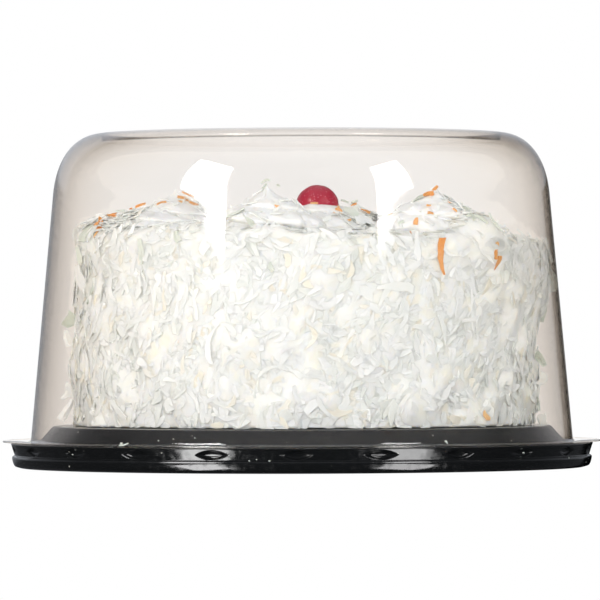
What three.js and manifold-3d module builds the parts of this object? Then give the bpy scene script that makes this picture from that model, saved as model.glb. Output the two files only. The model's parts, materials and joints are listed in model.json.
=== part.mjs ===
// A round layer cake, iced and coated in coarse coconut, with seven piped rosettes and a cherry.
// It stands on a black moulded tray under a clear domed lid, shut as it is sold.
//
// Millimetres, +Z up. The origin is on the table at the tray's axis, and -Y faces the viewer.
// Angles round the axis start at the front (-Y) and grow towards +X.

import * as THREE from 'three';
import { mergeVertices } from 'three/addons/utils/BufferGeometryUtils.js';
import Module from 'manifold-3d';

const wasm = await Module();
wasm.setup();

// Room left between pieces that rest on each other
const GAP = 0.3;

// Tray, thermoformed from one black sheet
const TRAY_SHEET = 0.9;
const TRAY_SEGMENTS = 44;
const PLATFORM_TOP = 18.8;
const PLATFORM_R = 112.4;
const SHOULDER_R = 118.2;
const SHOULDER_Z = 11.4;
const CHANNEL_INNER_R = 121.4;
const CHANNEL_OUTER_R = 127.8;
const LOWER_BAND_R = 131.5;
const LOWER_BAND_TOP = 5.2;
const LOWER_BAND_TAPER = 0.2;
const FOOT_ROUNDING = 3.6;
const LEDGE_R = 130.3;
const LEDGE_TOP = 5.7;
const RIM_R = 131.9;
const RIM_Z = 10.8;

// Lens-shaped dimples pressed into the upper band, which grip the lid's rim
const DIMPLES = 22;
const DIMPLE_WIDTH = 14.5;
const DIMPLE_HEIGHT = 4.4;
const DIMPLE_Z = 8.1;
const DIMPLE_DEPTH = 1.7;
const DIMPLE_SHEET = 0.4;      // the sheet is stretched thinner there
const DIMPLE_START = THREE.MathUtils.degToRad(-1.1);

// Lid, thermoformed from one clear sheet
const LID_SHEET = 0.5;
const LID_SEGMENTS = 52;
const FLANGE_R = 135.6;
const FLANGE_TOP = RIM_Z + GAP + LID_SHEET;
const FLANGE_RISE = 0.3;
const LID_FILLET = 1.3;
const WALL_FOOT_R = 122.7;
const WALL_FOOT_Z = 14.6;
const WALL_TOP_R = 112.6;
const WALL_TOP_Z = 124.1;
const CROWN_R = 90.8;
const CROWN_Z = 151.3;
const CROWN_RISE = 15.5;       // how far the crown's curve first follows the wall
const CROWN_LEAN = 12.5;       // how far out it leaves the crown's top
const PANEL_R = 90;
const PANEL_Z = 148.2;

// Cake, coated side and top
const CAKE_BASE = PLATFORM_TOP + GAP;
const CAKE_TOP = 105.6;
const CAKE_R = 103.4;
const CAKE_EDGE = 7;
const CAKE_SEGMENTS = 52;
const CAKE_BANDS = 9;
const TOP_FALL = 0.03;         // how far the top drops for each millimetre towards +X
const LEAN = 7.4;              // the upper layer bulges this far over to +X
const LEAN_FAR_SIDE = 0.4;     // share of the lean at the -X side
const LEAN_FROM = 48;
const LEAN_TO = 98;
const BASE_SHIFT = 0.6;
const LID_CLEARANCE = 1;       // coconut stays this far inside the lid's wall
const SQUASH_ROOM = 2.4;       // depth over which coconut near the lid is pressed flat
const BASE_ROOM = 0.6;         // the same above the tray

// Waves that make the coat uneven: depth, waves round the cake, height of a wave, phase
const COAT_WAVES = [
  { depth: 0.8, round: 3, height: 190, phase: 0.4 },
  { depth: 0.9, round: 7, height: 120, phase: 2.1 },
  { depth: 0.9, round: 13, height: -62, phase: 4.0 },
  { depth: 0.8, round: 19, height: 43, phase: 1.2 },
];

// Coconut shreds
const SHRED_LENGTH = [11, 20];
const EDGE_LENGTH = [9, 14];
const SHRED_WIDTH = [2.8, 5];
const SHRED_THICKNESS = 1.2;
const SHRED_TAPER = 0.45;
const SHRED_CURL = 1.1;
const SHRED_LIFT = 0.4;
const TIP = [0.08, 0.3];       // a shred lies tipped by this much, so that one end stands out
const SIDE_SHREDS = 54;
const SIDE_FROM = 5;           // above the cake's base
const SIDE_TO = 9;             // below the cake's top
const SIDE_JITTER = 0.3;       // radians
const EDGE_SHREDS = 26;
const EDGE_JITTER = 0.6;       // share of the step from one to the next
const EDGE_TILT = THREE.MathUtils.degToRad(41);
const EDGE_INSET = 0.3;        // shares of the edge's radius
const EDGE_DROP = 0.35;
const TOP_SHREDS = 36;
const TOP_REACH = 92;
const TOP_LIFT = 0.1;
const SHRED_SEED = 20;

// Toasted shreds that stand out on the side: angle, height, length, width, turn from upright
const TOASTED = [
  { angle: 36.5, z: 94, length: 17, width: 2.6, turn: 0.08 },
  { angle: 56, z: 93, length: 9.5, width: 4, turn: -0.25 },
  { angle: -62, z: 104, length: 6, width: 3, turn: 0.5 },
];

// Rosettes: angle on the ring, radius at the foot, height, and how far the tip leans in X and Y
const RING_R = 74;
const RING_SHIFT = 5;
const ROSETTES = [
  { name: 'rosette_front', angle: -15, radius: 22, height: 20.9, lean: [-1.2, 0] },
  { name: 'rosette_front_right', angle: 44, radius: 22, height: 23.4, lean: [4.6, 0] },
  { name: 'rosette_right', angle: 110, radius: 20, height: 16.4, lean: [-2, 1] },
  { name: 'rosette_back', angle: 165, radius: 21, height: 15.8, lean: [2, 1] },
  { name: 'rosette_back_left', angle: 238, radius: 21, height: 20.2, lean: [0, -1] },
  { name: 'rosette_left', angle: 289, radius: 18, height: 11.6, lean: [-2, 0] },
];
const CENTRE_X = 7.3;
const CENTRE_ROSETTE = { name: 'rosette_centre', radius: 22.5, height: 24, lean: [0, 0] };
const ROSETTE_SEGMENTS = 14;
const ROSETTE_RINGS = 11;
const ROSETTE_RIDGE = 0.11;
const ROSETTE_TURNS = 2.5;
const ROSETTE_TWIST = 1.3;     // radians from one rosette to the next
const CENTRE_TWIST = 2;
const FLANK_TILT = THREE.MathUtils.degToRad(51);
const SPACE_TOP = 0.3;         // width of the top of the space that a rosette needs, as a share of its foot

// Cherry
const CHERRY_R = 9.6;
const CHERRY_TOP = 127.9;
const CHERRY_SQUASH = 0.94;

// Finishes
const trayBlack = new THREE.MeshStandardMaterial({ color: 0x141414, roughness: 0.16, metalness: 0 });
const clearSheet = new THREE.MeshStandardMaterial({
  color: 0xe9e4de, roughness: 0.06, metalness: 0, transparent: true, opacity: 0.25,
});
const coconut = new THREE.MeshStandardMaterial({ color: 0xf1efe4, roughness: 0.6, metalness: 0 });
const icing = new THREE.MeshStandardMaterial({ color: 0xf4f4f1, roughness: 0.45, metalness: 0 });
const cherryRed = new THREE.MeshStandardMaterial({ color: 0xa72f45, roughness: 0.3, metalness: 0 });

// Repeatable random numbers from 0 to 1
function dice(seed) {
  let state = seed;
  return () => {
    state = (state + 0x6d2b79f5) | 0;
    let mixed = Math.imul(state ^ (state >>> 15), 1 | state);
    mixed = (mixed + Math.imul(mixed ^ (mixed >>> 7), 61 | mixed)) ^ mixed;
    return ((mixed ^ (mixed >>> 14)) >>> 0) / 4294967296;
  };
}

const roll = dice(SHRED_SEED);
const between = ([low, high]) => low + (high - low) * roll();
const GOLDEN_ANGLE = Math.PI * (3 - Math.sqrt(5));

// A value that nears its limit is slowed down over the given room and never passes it
function softLimit(value, limit, room) {
  const over = value - (limit - room);
  return over > 0 ? limit - room * Math.exp(-over / room) : value;
}

// Merges the shared vertices of a closed geometry and drops the faces that collapse at its poles
function weld(geometry) {
  geometry.deleteAttribute('normal');
  geometry.deleteAttribute('uv');
  const merged = mergeVertices(geometry, 1e-4);
  const corners = merged.index.array;
  const kept = [];
  for (let i = 0; i < corners.length; i += 3) {
    const [a, b, c] = corners.slice(i, i + 3);
    if (a !== b && b !== c && c !== a) kept.push(a, b, c);
  }
  merged.setIndex(kept);
  return merged;
}

function toSolid(geometry) {
  const merged = weld(geometry);
  return new wasm.Manifold(new wasm.Mesh({
    numProp: 3,
    vertProperties: new Float32Array(merged.attributes.position.array),
    triVerts: new Uint32Array(merged.index.array),
  }));
}

// The largest body of a solid: loose scraps are dropped and sealed hollows filled
function oneBody(solid) {
  return solid.decompose().reduce((best, body) => (body.volume() > best.volume() ? body : best));
}

function toGeometry(solid) {
  const mesh = oneBody(solid).getMesh();
  const geometry = new THREE.BufferGeometry();
  geometry.setAttribute('position', new THREE.BufferAttribute(mesh.vertProperties, 3));
  geometry.setIndex(new THREE.BufferAttribute(mesh.triVerts, 1));
  geometry.computeVertexNormals();
  return geometry;
}

// Turns an outline of (radius, height) points round the Z axis, with its first corner at an angle
function turned(outline, segments, start = 0) {
  return new THREE.LatheGeometry(outline, segments, start).rotateX(Math.PI / 2);
}

// Moves every vertex of a geometry by a rule
function reshape(geometry, rule) {
  const places = geometry.attributes.position;
  const point = new THREE.Vector3();
  for (let i = 0; i < places.count; i += 1) {
    point.fromBufferAttribute(places, i);
    rule(point);
    places.setXYZ(i, point.x, point.y, point.z);
  }
  return geometry;
}

// The other face of a bent sheet: each point of the outline moved to the left by the thickness
function offsetOutline(outline, thickness) {
  return outline.map((point, i) => {
    const before = outline[Math.max(i - 1, 0)];
    const after = outline[Math.min(i + 1, outline.length - 1)];
    const arriving = point.clone().sub(before);
    const leaving = after.clone().sub(point);
    if (i === 0) arriving.copy(leaving);
    if (i === outline.length - 1) leaving.copy(arriving);
    const left = (way) => new THREE.Vector2(-way.y, way.x).normalize();
    const middle = left(arriving).add(left(leaving)).normalize();
    return point.clone().addScaledVector(middle, thickness / middle.dot(left(leaving)));
  });
}

// A sheet of even thickness to the left of its outline, as a loop that starts and ends on the axis
function sheetOutline(outline, thickness) {
  const back = offsetOutline(outline, thickness).reverse();
  return outline[0].x === 0 ? [...outline, ...back] : [...back, ...outline];
}

function trayOutline() {
  const under = PLATFORM_TOP - TRAY_SHEET;
  const path = new THREE.Path();
  path.moveTo(0, under);
  path.lineTo(PLATFORM_R, under);
  path.lineTo(SHOULDER_R, SHOULDER_Z);
  path.lineTo(CHANNEL_INNER_R, 0);
  path.lineTo(CHANNEL_OUTER_R, 0);
  path.quadraticCurveTo(LOWER_BAND_R, 0, LOWER_BAND_R, FOOT_ROUNDING);
  path.lineTo(LOWER_BAND_R - LOWER_BAND_TAPER, LOWER_BAND_TOP);
  path.lineTo(LEDGE_R, LEDGE_TOP);
  path.lineTo(RIM_R, RIM_Z);
  return path.getPoints(2);
}

// A lens drawn by two arcs and pushed square into the wall's flat, from one depth to another
function dimpleTool(index, margin, deepest, shallowest, arcSteps) {
  const halfWidth = DIMPLE_WIDTH / 2 + margin;
  const halfHeight = DIMPLE_HEIGHT / 2 + margin;
  const arcR = (halfWidth ** 2 + halfHeight ** 2) / (2 * halfHeight);
  const reach = Math.asin(halfWidth / arcR);
  const lens = new THREE.Shape();
  const drop = arcR - halfHeight;
  lens.absarc(0, -drop, arcR, Math.PI / 2 - reach, Math.PI / 2 + reach, false);
  lens.absarc(0, drop, arcR, -Math.PI / 2 - reach, -Math.PI / 2 + reach, false);
  const depth = deepest - shallowest;
  const tool = new THREE.ExtrudeGeometry(lens, { depth, bevelEnabled: false, curveSegments: arcSteps });
  tool.translate(0, 0, -deepest);
  const flare = Math.atan2(RIM_R - LEDGE_R, RIM_Z - LEDGE_TOP);
  tool.rotateX(Math.PI / 2 + flare);
  const wallR = THREE.MathUtils.mapLinear(DIMPLE_Z, LEDGE_TOP, RIM_Z, LEDGE_R, RIM_R);
  tool.translate(0, -wallR * Math.cos(Math.PI / TRAY_SEGMENTS), DIMPLE_Z);
  return tool.rotateZ(DIMPLE_START + (index * 2 * Math.PI) / DIMPLES);
}

// Every dimple lies in the middle of one flat of the wall
function makeTray() {
  const start = DIMPLE_START + Math.PI / TRAY_SEGMENTS;
  let tray = toSolid(turned(sheetOutline(trayOutline(), TRAY_SHEET), TRAY_SEGMENTS, start));
  for (let i = 0; i < DIMPLES; i += 1) {
    const back = dimpleTool(i, DIMPLE_SHEET, DIMPLE_DEPTH + DIMPLE_SHEET, TRAY_SHEET / 2, 2);
    tray = tray.add(toSolid(back)).subtract(toSolid(dimpleTool(i, 0, DIMPLE_DEPTH, -1, 2)));
  }
  return toGeometry(tray);
}

// The flange and wall, a crown whose curve starts along the wall, and the sunken panel
function lidOutline() {
  const foot = new THREE.Vector2(WALL_FOOT_R, WALL_FOOT_Z);
  const top = new THREE.Vector2(WALL_TOP_R, WALL_TOP_Z);
  const crown = new THREE.Vector2(CROWN_R, CROWN_Z);
  const flangeEnd = FLANGE_TOP + FLANGE_RISE;
  const flange = new THREE.Path();
  flange.moveTo(FLANGE_R, FLANGE_TOP);
  flange.lineTo(WALL_FOOT_R + LID_FILLET, flangeEnd);
  flange.quadraticCurveTo(WALL_FOOT_R, flangeEnd, foot.x, foot.y);
  const rise = top.clone().sub(foot).setLength(CROWN_RISE).add(top);
  const leave = crown.clone().add(new THREE.Vector2(CROWN_LEAN, 0));
  return [
    ...flange.getPoints(2),
    ...new THREE.CubicBezierCurve(top, rise, leave, crown).getPoints(4),
    new THREE.Vector2(PANEL_R, PANEL_Z),
    new THREE.Vector2(0, PANEL_Z),
  ];
}

function makeLid() {
  return weld(turned(sheetOutline(lidOutline(), LID_SHEET), LID_SEGMENTS));
}

// Radius of the lid's inner face at a height
function lidInnerRadius(z) {
  const share = (z - WALL_FOOT_Z) / (WALL_TOP_Z - WALL_FOOT_Z);
  return THREE.MathUtils.lerp(WALL_FOOT_R, WALL_TOP_R, share) - LID_SHEET;
}

// Height of the cake's top, which falls towards +X
function topAt(x) {
  return CAKE_TOP - TOP_FALL * x;
}

// Radius of the coat on an upright cake
function coatRadius(angle, z) {
  const waves = COAT_WAVES.map(({ depth, round, height, phase }) => (
    depth * Math.sin(round * angle + (2 * Math.PI * z) / height + phase)));
  return waves.reduce((radius, wave) => radius + wave, CAKE_R);
}

// Moves a point of the upright cake to where the leaning, sloping cake has it, clear of the lid and tray
function settle(point) {
  const rise = (point.z - CAKE_BASE) / (CAKE_TOP - CAKE_BASE);
  const side = THREE.MathUtils.mapLinear(point.x, -CAKE_R, CAKE_R, LEAN_FAR_SIDE, 1);
  point.x += BASE_SHIFT + LEAN * side * THREE.MathUtils.smoothstep(point.z, LEAN_FROM, LEAN_TO);
  point.z -= TOP_FALL * point.x * rise;
  const radius = Math.hypot(point.x, point.y);
  const limit = lidInnerRadius(point.z) - LID_CLEARANCE;
  const kept = softLimit(radius, limit, SQUASH_ROOM) / Math.max(radius, 1);
  point.x *= kept;
  point.y *= kept;
  point.z = -softLimit(-point.z, -CAKE_BASE, BASE_ROOM);
}

function cakeCore() {
  const outline = [new THREE.Vector2(0, CAKE_BASE), new THREE.Vector2(CAKE_R, CAKE_BASE)];
  const wallTop = CAKE_TOP - CAKE_EDGE;
  for (let band = 1; band <= CAKE_BANDS; band += 1) {
    outline.push(new THREE.Vector2(CAKE_R, THREE.MathUtils.lerp(CAKE_BASE, wallTop, band / CAKE_BANDS)));
  }
  for (let step = 1; step <= 3; step += 1) {
    const turn = (step * Math.PI) / 6;
    outline.push(new THREE.Vector2(
      CAKE_R - CAKE_EDGE * (1 - Math.cos(turn)),
      wallTop + CAKE_EDGE * Math.sin(turn),
    ));
  }
  outline.push(new THREE.Vector2(0, CAKE_TOP));
  const core = turned(outline, CAKE_SEGMENTS);
  reshape(core, (point) => {
    const radius = Math.hypot(point.x, point.y);
    if (radius > 1) {
      const grown = coatRadius(Math.atan2(point.x, -point.y), point.z) / CAKE_R;
      point.x *= grown;
      point.y *= grown;
    }
    settle(point);
  });
  return toSolid(core);
}

// A curved strip that lies along X, narrower at its ends
function shredStrip(length, width) {
  const strip = new THREE.BoxGeometry(length, width, SHRED_THICKNESS, 2, 1, 1);
  return reshape(strip, (point) => {
    const along = (2 * point.x) / length;
    point.y *= 1 - SHRED_TAPER * along * along;
    point.z += SHRED_CURL * (1 - along * along);
  });
}

// Stands a strip on a surface: turned in the surface, then tipped so that one end stands out
function placeShred(strip, spot, normal, turn, tip) {
  const up = Math.abs(normal.z) > 0.9 ? new THREE.Vector3(0, 1, 0) : new THREE.Vector3(0, 0, 1);
  const across = new THREE.Vector3().crossVectors(normal, up).normalize();
  const along = new THREE.Vector3().crossVectors(across, normal);
  const frame = new THREE.Matrix4().makeBasis(along, across, normal).setPosition(spot);
  const pose = new THREE.Matrix4().makeRotationZ(turn).multiply(new THREE.Matrix4().makeRotationY(-tip));
  return strip.applyMatrix4(frame.multiply(pose));
}

function sideNormal(angle) {
  return new THREE.Vector3(Math.sin(angle), -Math.cos(angle), 0);
}

function sideShred(angle, z, length, width, turn, tip) {
  const normal = sideNormal(angle);
  const spot = normal.clone().multiplyScalar(coatRadius(angle, z) + SHRED_LIFT).setZ(z);
  return placeShred(shredStrip(length, width), spot, normal, turn, tip);
}

// Shreds all round the side, spread evenly by the golden angle
function sideShreds() {
  const strips = [];
  for (let i = 0; i < SIDE_SHREDS; i += 1) {
    const z = THREE.MathUtils.lerp(CAKE_BASE + SIDE_FROM, CAKE_TOP - SIDE_TO, (i + roll()) / SIDE_SHREDS);
    const angle = i * GOLDEN_ANGLE + SIDE_JITTER * roll();
    const [length, width] = [between(SHRED_LENGTH), between(SHRED_WIDTH)];
    strips.push(sideShred(angle, z, length, width, Math.PI * roll(), between(TIP)));
  }
  for (const mark of TOASTED) {
    const angle = THREE.MathUtils.degToRad(mark.angle);
    strips.push(sideShred(angle, mark.z, mark.length, mark.width, mark.turn, TIP[0]));
  }
  return strips;
}

// Shreds along the top edge, pointing up and out
function edgeShreds() {
  const strips = [];
  for (let i = 0; i < EDGE_SHREDS; i += 1) {
    const angle = (2 * Math.PI * (i + EDGE_JITTER * roll())) / EDGE_SHREDS;
    const normal = sideNormal(angle).multiplyScalar(Math.cos(EDGE_TILT)).setZ(Math.sin(EDGE_TILT));
    const radius = coatRadius(angle, CAKE_TOP) - EDGE_INSET * CAKE_EDGE;
    const spot = sideNormal(angle).multiplyScalar(radius).setZ(CAKE_TOP - EDGE_DROP * CAKE_EDGE);
    const strip = shredStrip(between(EDGE_LENGTH), between(SHRED_WIDTH));
    strips.push(placeShred(strip, spot, normal, Math.PI * roll(), between(TIP)));
  }
  return strips;
}

function rosetteSpot(rosette) {
  if (rosette.angle === undefined) return new THREE.Vector2(CENTRE_X, 0);
  const angle = THREE.MathUtils.degToRad(rosette.angle);
  return new THREE.Vector2(RING_SHIFT + RING_R * Math.sin(angle), -RING_R * Math.cos(angle));
}

// Shreds that lie on the top
function topShreds() {
  const strips = [];
  for (let i = 0; i < TOP_SHREDS; i += 1) {
    const radius = TOP_REACH * Math.sqrt((i + roll()) / TOP_SHREDS);
    const spot = sideNormal(i * GOLDEN_ANGLE).multiplyScalar(radius).setZ(CAKE_TOP + TOP_LIFT);
    const strip = shredStrip(between(EDGE_LENGTH), between(SHRED_WIDTH));
    strips.push(placeShred(strip, spot, new THREE.Vector3(0, 0, 1), Math.PI * roll(), TIP[0]));
  }
  return strips;
}

// The space that each rosette needs, a little wider and taller than the rosette itself
function rosetteSpace(rosette) {
  const spot = rosetteSpot(rosette);
  const radius = rosette.radius * (1 + ROSETTE_RIDGE) + 2 * GAP;
  const space = new THREE.CylinderGeometry(SPACE_TOP * radius, radius, rosette.height, ROSETTE_SEGMENTS);
  space.rotateX(Math.PI / 2);
  return toSolid(space.translate(spot.x, spot.y, topAt(spot.x) + 0.5 * rosette.height));
}

// The coated cake: a shred that would reach into a rosette is left out
function makeCake() {
  const taken = wasm.Manifold.union([...ROSETTES, CENTRE_ROSETTE].map(rosetteSpace));
  let cake = cakeCore();
  for (const strip of [...sideShreds(), ...edgeShreds(), ...topShreds()]) {
    const solid = toSolid(reshape(strip, settle));
    if (solid.intersect(taken).isEmpty()) cake = cake.add(solid);
  }
  return cake;
}

// Share of a rosette's radius at a share of its height: a full round foot, hollow flanks, a point
function rosetteWidth(up) {
  return 0.5 + 0.5 * Math.cos(Math.PI * up ** 1.3);
}

// A whipped rosette: a soft mound with one ridge that winds up to a leaning tip
function rosetteBody(rosette, twist) {
  const outline = [new THREE.Vector2(0, 0)];
  for (let ring = 0; ring <= ROSETTE_RINGS; ring += 1) {
    const up = ring / ROSETTE_RINGS;
    outline.push(new THREE.Vector2(rosette.radius * rosetteWidth(up), rosette.height * up));
  }
  const body = turned(outline, ROSETTE_SEGMENTS);
  return reshape(body, (point) => {
    const share = point.z / rosette.height;
    const wound = Math.atan2(point.y, point.x) + 2 * Math.PI * ROSETTE_TURNS * share + twist;
    const ridge = 1 + ROSETTE_RIDGE * Math.sin(wound);
    point.x = point.x * ridge + rosette.lean[0] * share ** 3;
    point.y = point.y * ridge + rosette.lean[1] * share ** 3;
  });
}

// A shred halfway up a rosette's flank
function rosetteShred(rosette, twist) {
  const out = sideNormal(twist);
  const normal = out.clone().multiplyScalar(Math.cos(FLANK_TILT)).setZ(Math.sin(FLANK_TILT));
  const spot = out.clone().multiplyScalar(rosetteWidth(0.5) * rosette.radius).setZ(0.5 * rosette.height);
  return placeShred(shredStrip(SHRED_LENGTH[0], SHRED_WIDTH[0]), spot, normal, Math.PI * roll(), TIP[0]);
}

function makeRosette(rosette, twist) {
  const spot = rosetteSpot(rosette);
  const stand = (point) => {
    point.x += spot.x;
    point.y += spot.y;
    point.z += topAt(point.x) + GAP;
  };
  const body = toSolid(reshape(rosetteBody(rosette, twist), stand));
  return body.add(toSolid(reshape(rosetteShred(rosette, twist), stand)));
}

function cherryBody(margin) {
  const radius = CHERRY_R + margin;
  const body = new THREE.SphereGeometry(radius, 14, 10).rotateX(Math.PI / 2);
  body.scale(1, 1, CHERRY_SQUASH);
  return body.translate(CENTRE_X, 0, CHERRY_TOP - CHERRY_R * CHERRY_SQUASH);
}

const cake = new THREE.Group();

function addPart(name, geometry, material) {
  const mesh = new THREE.Mesh(geometry, material);
  mesh.name = name;
  cake.add(mesh);
}

addPart('tray', makeTray(), trayBlack);
addPart('lid', makeLid(), clearSheet);
addPart('cake', toGeometry(makeCake()), coconut);
ROSETTES.forEach((rosette, i) => {
  addPart(rosette.name, toGeometry(makeRosette(rosette, ROSETTE_TWIST * i)), icing);
});
const cherryPocket = toSolid(cherryBody(GAP));
const centre = makeRosette(CENTRE_ROSETTE, CENTRE_TWIST).subtract(cherryPocket);
addPart(CENTRE_ROSETTE.name, toGeometry(centre), icing);
addPart('cherry', weld(cherryBody(0)), cherryRed);

export default cake;
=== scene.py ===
"""A coconut layer cake, shut in its clear domed lid on its black moulded tray.

The numbers below are millimetres, turned to metres when a piece is made.
Angles round the axis start at the front (-Y) and grow towards +X, as in the part's source.
"""

import json
import math

import bmesh
import bpy
import numpy as np
from mathutils import Matrix, Vector, noise
from mathutils.bvhtree import BVHTree

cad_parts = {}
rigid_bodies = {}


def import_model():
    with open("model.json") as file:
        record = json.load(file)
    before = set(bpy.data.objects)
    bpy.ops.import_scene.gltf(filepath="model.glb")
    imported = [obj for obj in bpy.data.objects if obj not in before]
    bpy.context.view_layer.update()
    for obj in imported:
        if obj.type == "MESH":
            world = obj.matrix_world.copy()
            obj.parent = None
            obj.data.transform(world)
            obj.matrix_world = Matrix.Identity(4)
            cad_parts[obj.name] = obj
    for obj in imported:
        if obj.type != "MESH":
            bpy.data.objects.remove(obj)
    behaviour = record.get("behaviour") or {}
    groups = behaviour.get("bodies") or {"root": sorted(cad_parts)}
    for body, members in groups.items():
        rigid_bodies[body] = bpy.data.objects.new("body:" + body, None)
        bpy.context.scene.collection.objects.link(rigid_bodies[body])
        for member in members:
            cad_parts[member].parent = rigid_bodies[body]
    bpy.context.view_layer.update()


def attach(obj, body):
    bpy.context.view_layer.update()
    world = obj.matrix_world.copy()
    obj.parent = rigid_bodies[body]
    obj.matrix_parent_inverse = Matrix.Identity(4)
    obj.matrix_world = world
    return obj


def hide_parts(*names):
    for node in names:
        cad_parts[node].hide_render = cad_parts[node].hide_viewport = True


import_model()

MM = 0.001
GAP = 0.3

# Tray
TRAY_SHEET = 0.9
PLATFORM_TOP = 18.8
UNDER_PLATFORM = PLATFORM_TOP - TRAY_SHEET
# Corners of its outline as radius and height, from the platform to the upper band, and how much each
# corner between the first and the last is rounded
TRAY_CORNERS = ((100, UNDER_PLATFORM), (112.4, UNDER_PLATFORM), (118.2, 11.4), (121.4, 0), (127.8, 0),
                (130.3, 0.7), (131.1, 2.4), (131.5, 4.4), (131.3, 5.2), (130.3, 5.7), (130.46, 6.2))
TRAY_RADII = (1.2, 1.5, 1.2, 1.4, 1.6, 8, 1.0, 0.5, 0.4)
UPPER_BAND_R = 131.1
UPPER_BAND_TOP = (131.82, 10.5)
LEDGE = (128, 5.5)
RIM = (132.0, 10.8)
DIMPLES = 22
DIMPLE_WIDTH = 14.5
DIMPLE_HEIGHT = 4.4
DIMPLE_Z = 8.1
DIMPLE_DEPTH = 1.7
DIMPLE_LIP = 0.12
DIMPLE_START = math.radians(-1.1)
TRAY_COLUMNS = 968
# Specks of dust on the black sheet: how far apart, reach as a share of that, and share of places with one
DUST_SPACING = 3.2
SPECK_REACH = 0.1
SPECK_SHARE = 0.14

# Lid
LID_SHEET = 0.5
LID_COLUMNS = 288
FLANGE_TIP = (135.6, 12.2)
FLANGE_ROOT = (122.95, 11.9)
WALL_FOOT = (122.7, 14.6)
WALL_TOP = (112.6, 124.1)
CROWN = (90.8, 151.3)
# How far the shoulder's curve runs on up the wall, and out from the crown, before it bends
SHOULDER_RISE = 15.5
SHOULDER_RUN = (12.5, -0.4)
PANEL_R = 90.1
PANEL_Z = 148.2

# Cake
CAKE_BASE = PLATFORM_TOP + GAP
CAKE_TOP = 105.6
CAKE_R = 104
CAKE_EDGE = 7
TOP_FALL = 0.03
LEAN = 7.4
LEAN_FAR_SIDE = 0.55
LEAN_FROM, LEAN_TO = 48, 98
BASE_SHIFT = 0.6
LID_CLEARANCE = 1
SQUASH_ROOM = 2.4
BASE_ROOM = 0.6
LUMP_DEPTH = 0.9
# Clumps of coconut on the edge, front right and left: middle, height and radius
CLUMPS = (((68, -66, 104), 12, 11), ((-95, -12, 103), 4.5, 17))
# Waves of the coat: depth, number round the cake, height of one wave, phase
COAT_WAVES = ((0.8, 3, 190, 0.4), (0.9, 7, 120, 2.1), (0.9, 13, -62, 4.0), (0.8, 19, 43, 1.2))

# Rosettes: name, angle on the ring, foot radius, height, sideways lean of the tip
RING_R = 74
RING_SHIFT = 5
ROSETTES = (
    ("rosette_front", -15, 22, 20.9, (-1.2, 0.0)),
    ("rosette_front_right", 44, 22, 23.4, (4.6, 0.0)),
    ("rosette_right", 110, 20, 16.4, (-2.0, 1.0)),
    ("rosette_back", 165, 21, 15.8, (2.0, 1.0)),
    ("rosette_back_left", 238, 21, 20.2, (0.0, -1.0)),
    ("rosette_left", 289, 18, 11.6, (-2.0, 0.0)),
)
CENTRE_X = 7.3
CENTRE_ROSETTE = ("rosette_centre", None, 22.5, 20.6, (0.0, 0.0))
CHERRY_R = 9.6
CHERRY_TOP = 127.9
CHERRY_SQUASH = 0.94

# Heaps of loose coconut on the top: plan x, y, radius, height, count
HEAPS = ((70, -52, 8, 1.5, 60), (24, -6, 12, 2.4, 90), (-78, -22, 10, 1.5, 60), (40, 60, 18, 3, 160),
         (-30, 40, 20, 2, 160))

# Coconut that the photograph shows one by one, by its pixels

# Bare spots, where smooth icing shows: pixel, and radius in millimetres
BARE = (
    (264, 221, 5), (506, 330, 7), (437, 224, 4), (140, 219, 5), (158, 217, 6), (178, 215, 6),
    (195, 217, 5), (92, 300, 3), (330, 280, 4), (236, 262, 4), (380, 300, 3), (300, 350, 4),
)
# Toasted shreds: pixels of both ends, width in millimetres, tone from pale to deep
TOASTED = (
    (95, 220, 100, 230, 2.6, 0.9), (98, 221, 97, 227, 1.6, 0.7), (96, 231, 97, 238, 1.4, 0.1),
    (108, 213, 117, 216, 2.2, 0.8), (112, 212, 115, 217, 1.5, 0.6), (130, 209, 132, 210, 0.8, 0.8),
    (136, 201.5, 145, 203.5, 1.6, 0.7), (156.5, 203.5, 166.5, 202.5, 1.6, 0.6),
    (177.5, 199, 188, 198, 2.4, 0.35), (181, 196, 186, 201, 1.6, 0.5),
    (185, 198, 190.5, 192.5, 1.1, 0.6), (178, 201, 182, 203, 1.2, 0.1),
    (190, 201, 197.5, 206.5, 1.8, 0.5), (274.5, 205.5, 279, 207.5, 1.2, 0.4),
    (310.5, 203.7, 318, 203, 1.4, 0.2), (329, 210.5, 338, 215, 1.4, 0.4),
    (335, 210, 342, 212.5, 1.5, 0.35), (335.5, 206, 339.5, 206.8, 1.0, 0.1),
    (345.5, 217, 350, 220.5, 1.2, 0.3), (351.5, 204, 356.5, 205, 1.6, 0.7),
    (361.5, 208.5, 369, 215, 1.7, 0.65), (436.5, 185.5, 433.5, 191, 1.4, 0.7),
    (423.5, 196.5, 434, 194.5, 2.5, 1.0), (426.5, 207.3, 431, 206.7, 1.1, 0.5),
    (427.5, 213, 433.5, 214, 1.4, 0.5), (417, 218, 416.5, 225, 1.9, 0.45),
    (410.5, 230, 415.5, 230.5, 1.0, 0.8), (441.5, 239, 445.5, 273.5, 2.5, 0.75),
    (495.5, 250, 497.5, 259, 2.0, 0.6), (496, 257, 498.5, 267.5, 2.6, 0.65),
    (495.5, 243.5, 499, 243.8, 1.2, 0.2), (447.5, 200.5, 453, 203, 1.2, 0.9),
    (453, 208.5, 456, 212.5, 0.9, 0.4), (387, 215, 392, 214, 1.0, 0.9), (482, 414, 490, 417, 2.6, 0.0),
)
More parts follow.
